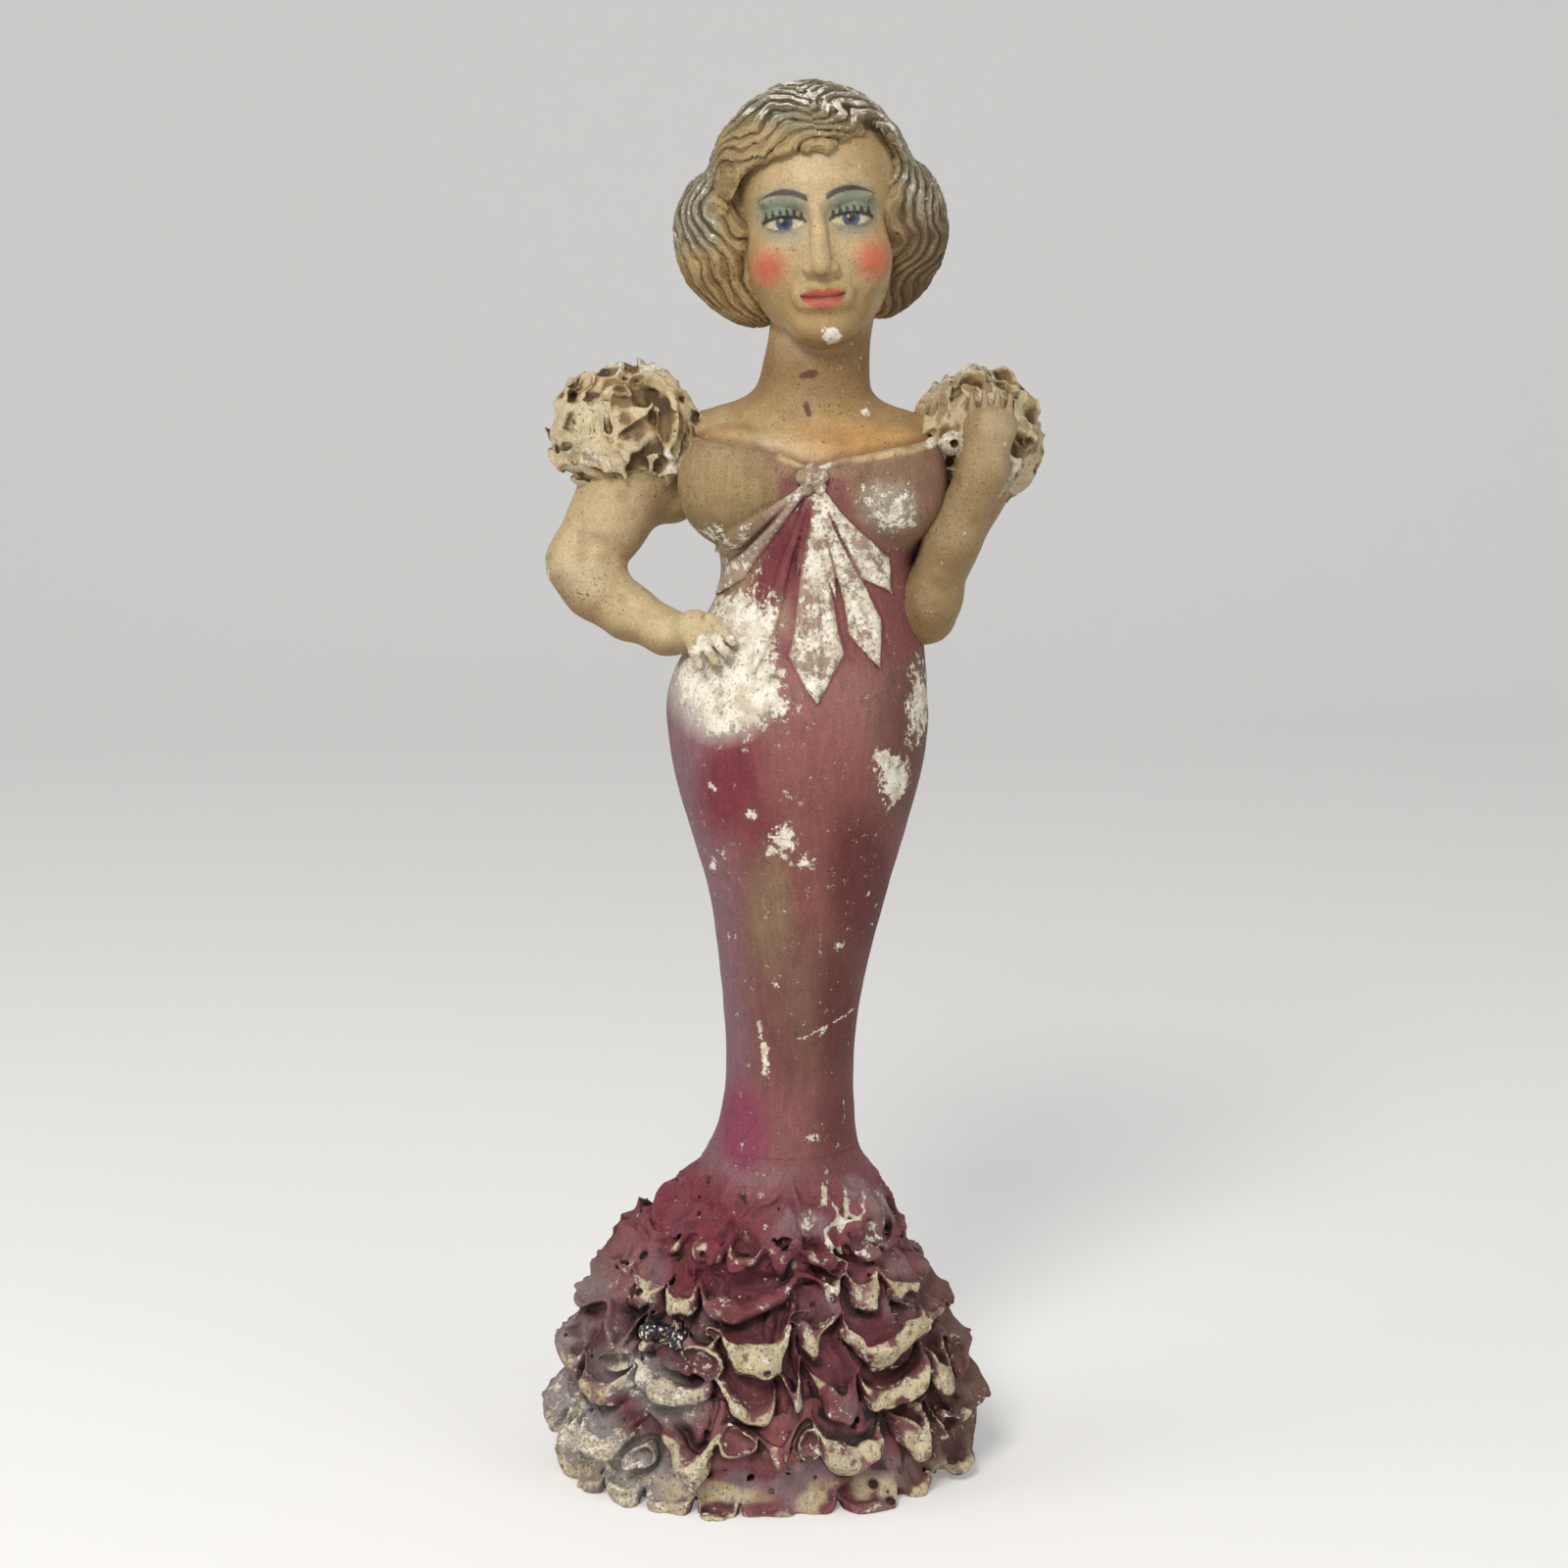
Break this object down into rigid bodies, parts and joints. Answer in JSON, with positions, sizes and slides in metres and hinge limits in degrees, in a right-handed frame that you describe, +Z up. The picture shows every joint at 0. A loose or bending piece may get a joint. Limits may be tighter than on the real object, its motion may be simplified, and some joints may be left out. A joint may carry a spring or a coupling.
{
  "type": "figurine",
  "caption": "Hollow painted plaster figure of a lady in a long trumpet gown with a ruffled flounce, puffed sleeves and waved hair, one hand on the hip, free-standing",
  "frame": {"origin": "centre of the foot, on the plane that the figure stands on", "axes": "+Z up along the figure's height, the figure faces -Y, its right hand side is at -X"},
  "size_m": [0.1251, 0.0725, 0.3501],
  "materials": {
    "flounce_paint": "matt magenta-pink paint on plaster, worn to cream on the ruffles",
    "gown_paint": "satin dusty rose airbrushed paint on plaster, chipped to white",
    "bodice_paint": "satin cream paint with brown antiquing on plaster",
    "skin_paint": "satin cream flesh paint on plaster",
    "sleeve_paint": "matt cream paint with brown antiquing on plaster",
    "hair_paint": "matt blonde paint with dark antiquing on plaster",
    "glitter": "black glitter set in old glue"
  },
  "bodies": {
    "root": {"bodice": "gown_paint", "bodice_knot": "bodice_paint", "chest": "skin_paint", "gathered_folds": "gown_paint", "glitter_clumps": "glitter", "gown_skirt": "gown_paint", "hair_crown": "hair_paint", "hair_fringe": "hair_paint", "hair_left_roll": "hair_paint", "hair_right_roll": "hair_paint", "head": "skin_paint", "left_cup": "bodice_paint", "left_forearm": "skin_paint", "left_hand": "skin_paint", "left_sleeve": "sleeve_paint", "left_upper_arm": "skin_paint", "neck": "skin_paint", "right_cup": "bodice_paint", "right_forearm": "skin_paint", "right_hand": "skin_paint", "right_sleeve": "sleeve_paint", "right_upper_arm": "skin_paint", "ruffle_tier_1": "flounce_paint", "ruffle_tier_2": "flounce_paint", "ruffle_tier_3": "flounce_paint", "ruffle_tier_4": "flounce_paint", "ruffle_tier_5": "flounce_paint", "ruffle_tier_6": "flounce_paint"}
  },
  "joints": []
}
